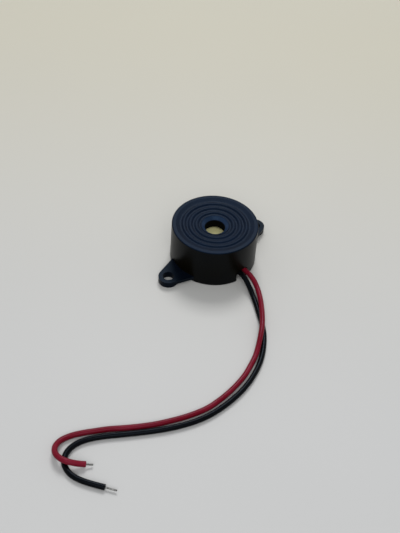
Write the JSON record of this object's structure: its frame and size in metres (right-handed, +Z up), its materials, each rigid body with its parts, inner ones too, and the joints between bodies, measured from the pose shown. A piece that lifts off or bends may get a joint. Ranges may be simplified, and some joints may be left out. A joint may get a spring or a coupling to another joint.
{
  "type": "piezo buzzer",
  "caption": "Round black piezo buzzer with a ringed sound face and central port, screw ears at its base, a recessed back cover with a label, and loose red and black leads with stripped ends.",
  "frame": {"origin": "centre of the base plane, where the housing's rim and the ear bosses rest", "axes": "+Z up through the sound port, +X through the two screw ears, -Y where the leads leave the wall"},
  "size_m": [0.0845, 0.0503, 0.011],
  "materials": {
    "housing_plastic": "moulded black plastic, faint sheen",
    "cover_plastic": "moulded black plastic, flat",
    "label_paper": "pale blue coated paper",
    "brass": "rolled brass sheet",
    "adhesive": "clear elastic adhesive",
    "ceramic": "fired ceramic",
    "silver_film": "fired silver film",
    "board_laminate": "green laminate",
    "chip_body": "moulded epoxy with plated ends",
    "solder": "bright solder",
    "tinned_wire": "tinned copper strands",
    "red_cover": "soft extruded insulation",
    "black_cover": "soft extruded insulation"
  },
  "bodies": {
    "root": {"housing": "housing_plastic", "back_cover": "cover_plastic", "label": "label_paper", "adhesive_ring": "adhesive", "piezo_plate": "brass", "piezo_ceramic": "ceramic", "main_electrode": "silver_film", "feedback_electrode": "silver_film", "circuit_board": "board_laminate", "transistor": "chip_body", "diode": "chip_body", "base_resistor": "chip_body", "drive_resistor": "chip_body", "feedback_resistor": "chip_body", "plate_link": "tinned_wire", "drive_link": "tinned_wire", "feedback_link": "tinned_wire", "disc_solder": "solder", "board_solder": "solder", "red_lead": "red_cover", "red_lead_tip": "tinned_wire", "red_lead_tail": "tinned_wire", "black_lead": "black_cover", "black_lead_tip": "tinned_wire", "black_lead_tail": "tinned_wire"}
  },
  "joints": []
}
